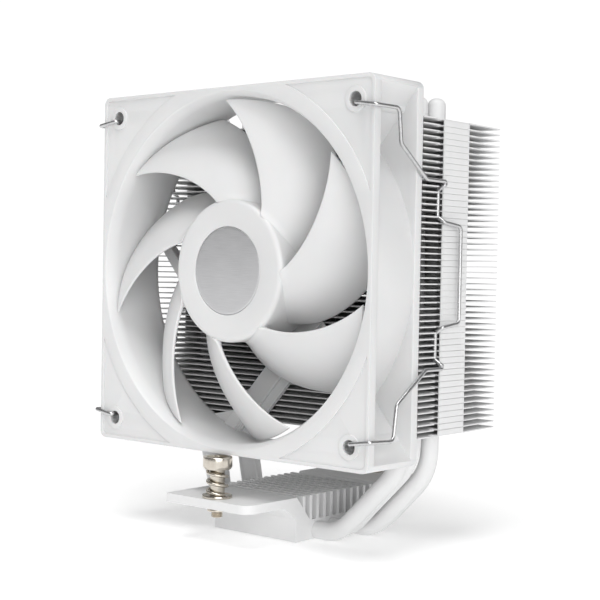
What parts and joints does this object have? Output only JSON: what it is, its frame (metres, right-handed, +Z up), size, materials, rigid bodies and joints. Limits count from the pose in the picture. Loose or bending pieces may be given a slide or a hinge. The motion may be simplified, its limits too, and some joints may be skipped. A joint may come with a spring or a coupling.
{
  "type": "cpu tower cooler",
  "caption": "White CPU tower cooler: an axial fan held by wire clips to a stack of thin fins on U-shaped heat pipes, over a finned base with ears and spring screws.",
  "frame": {"origin": "centre of the base's contact face, the one that rests on the processor", "axes": "+Z up from the contact face, +Y the way the air flows (the fan is on the -Y side), +X to the right when the fan is seen from its front"},
  "size_m": [0.1252, 0.0932, 0.1489],
  "materials": {
    "white_plastic": "fine satin moulded",
    "white_coat": "smooth satin powder coat",
    "badge_metal": "brushed",
    "nickel": "nickel plated, turned",
    "spring_wire": "drawn wire",
    "steel": "plain",
    "ferrite": "matte bonded ferrite",
    "brass_tube": "drawn",
    "bronze": "sintered",
    "nylon": "natural",
    "copper_wire": "enamelled copper",
    "circuit_board": "solder mask",
    "label_film": "plain film"
  },
  "bodies": {
    "heatsink": {"base_block": "white_coat", "heat_pipe_1": "white_coat", "heat_pipe_2": "white_coat", "heat_pipe_3": "white_coat", "heat_pipe_4": "white_coat", "fin_stack": "white_coat", "washer_front": "nickel", "washer_rear": "nickel", "spring_front": "nickel", "spring_rear": "nickel"},
    "fan": {"fan_frame": "white_plastic", "bearing_tube": "brass_tube", "sleeve_bearing": "bronze", "thrust_washer": "nylon", "stator_core": "steel", "stator_insulator": "nylon", "stator_windings": "copper_wire", "motor_circuit_board": "circuit_board", "motor_label": "label_film", "fan_clip_right": "spring_wire", "fan_clip_left": "spring_wire"},
    "rotor": {"fan_impeller": "white_plastic", "hub_badge": "badge_metal", "rotor_yoke": "steel", "rotor_magnet": "ferrite", "fan_shaft": "steel", "shaft_clip": "steel"},
    "front_press": {"ring_clip_front": "nickel"},
    "front_screw": {"spring_screw_front": "nickel"},
    "rear_press": {"ring_clip_rear": "nickel"},
    "rear_screw": {"spring_screw_rear": "nickel"}
  },
  "joints": [
    {"name": "fan_height", "type": "slide", "parent": "heatsink", "child": "fan", "axis": [0, 0, 1], "range_m": [0, 0.018]},
    {"name": "rotor_spin", "type": "hinge", "parent": "fan", "child": "rotor", "pos_m": [0, -0.039, 0.0889], "axis": [0, -1, 0], "continuous": true},
    {"name": "front_screw_press", "type": "slide", "parent": "heatsink", "child": "front_press", "axis": [0, 0, 1], "range_m": [-0.004, 0], "stiffness_N_per_m": 1000, "springref_m": 0.001, "deforming": ["spring_front"]},
    {"name": "front_screw_turn", "type": "hinge", "parent": "front_press", "child": "front_screw", "pos_m": [0, -0.041, 0.0263], "axis": [0, 0, 1], "continuous": true},
    {"name": "rear_screw_press", "type": "slide", "parent": "heatsink", "child": "rear_press", "axis": [0, 0, 1], "range_m": [-0.004, 0], "stiffness_N_per_m": 1000, "springref_m": 0.001, "deforming": ["spring_rear"]},
    {"name": "rear_screw_turn", "type": "hinge", "parent": "rear_press", "child": "rear_screw", "pos_m": [0, 0.041, 0.0263], "axis": [0, 0, 1], "continuous": true}
  ]
}
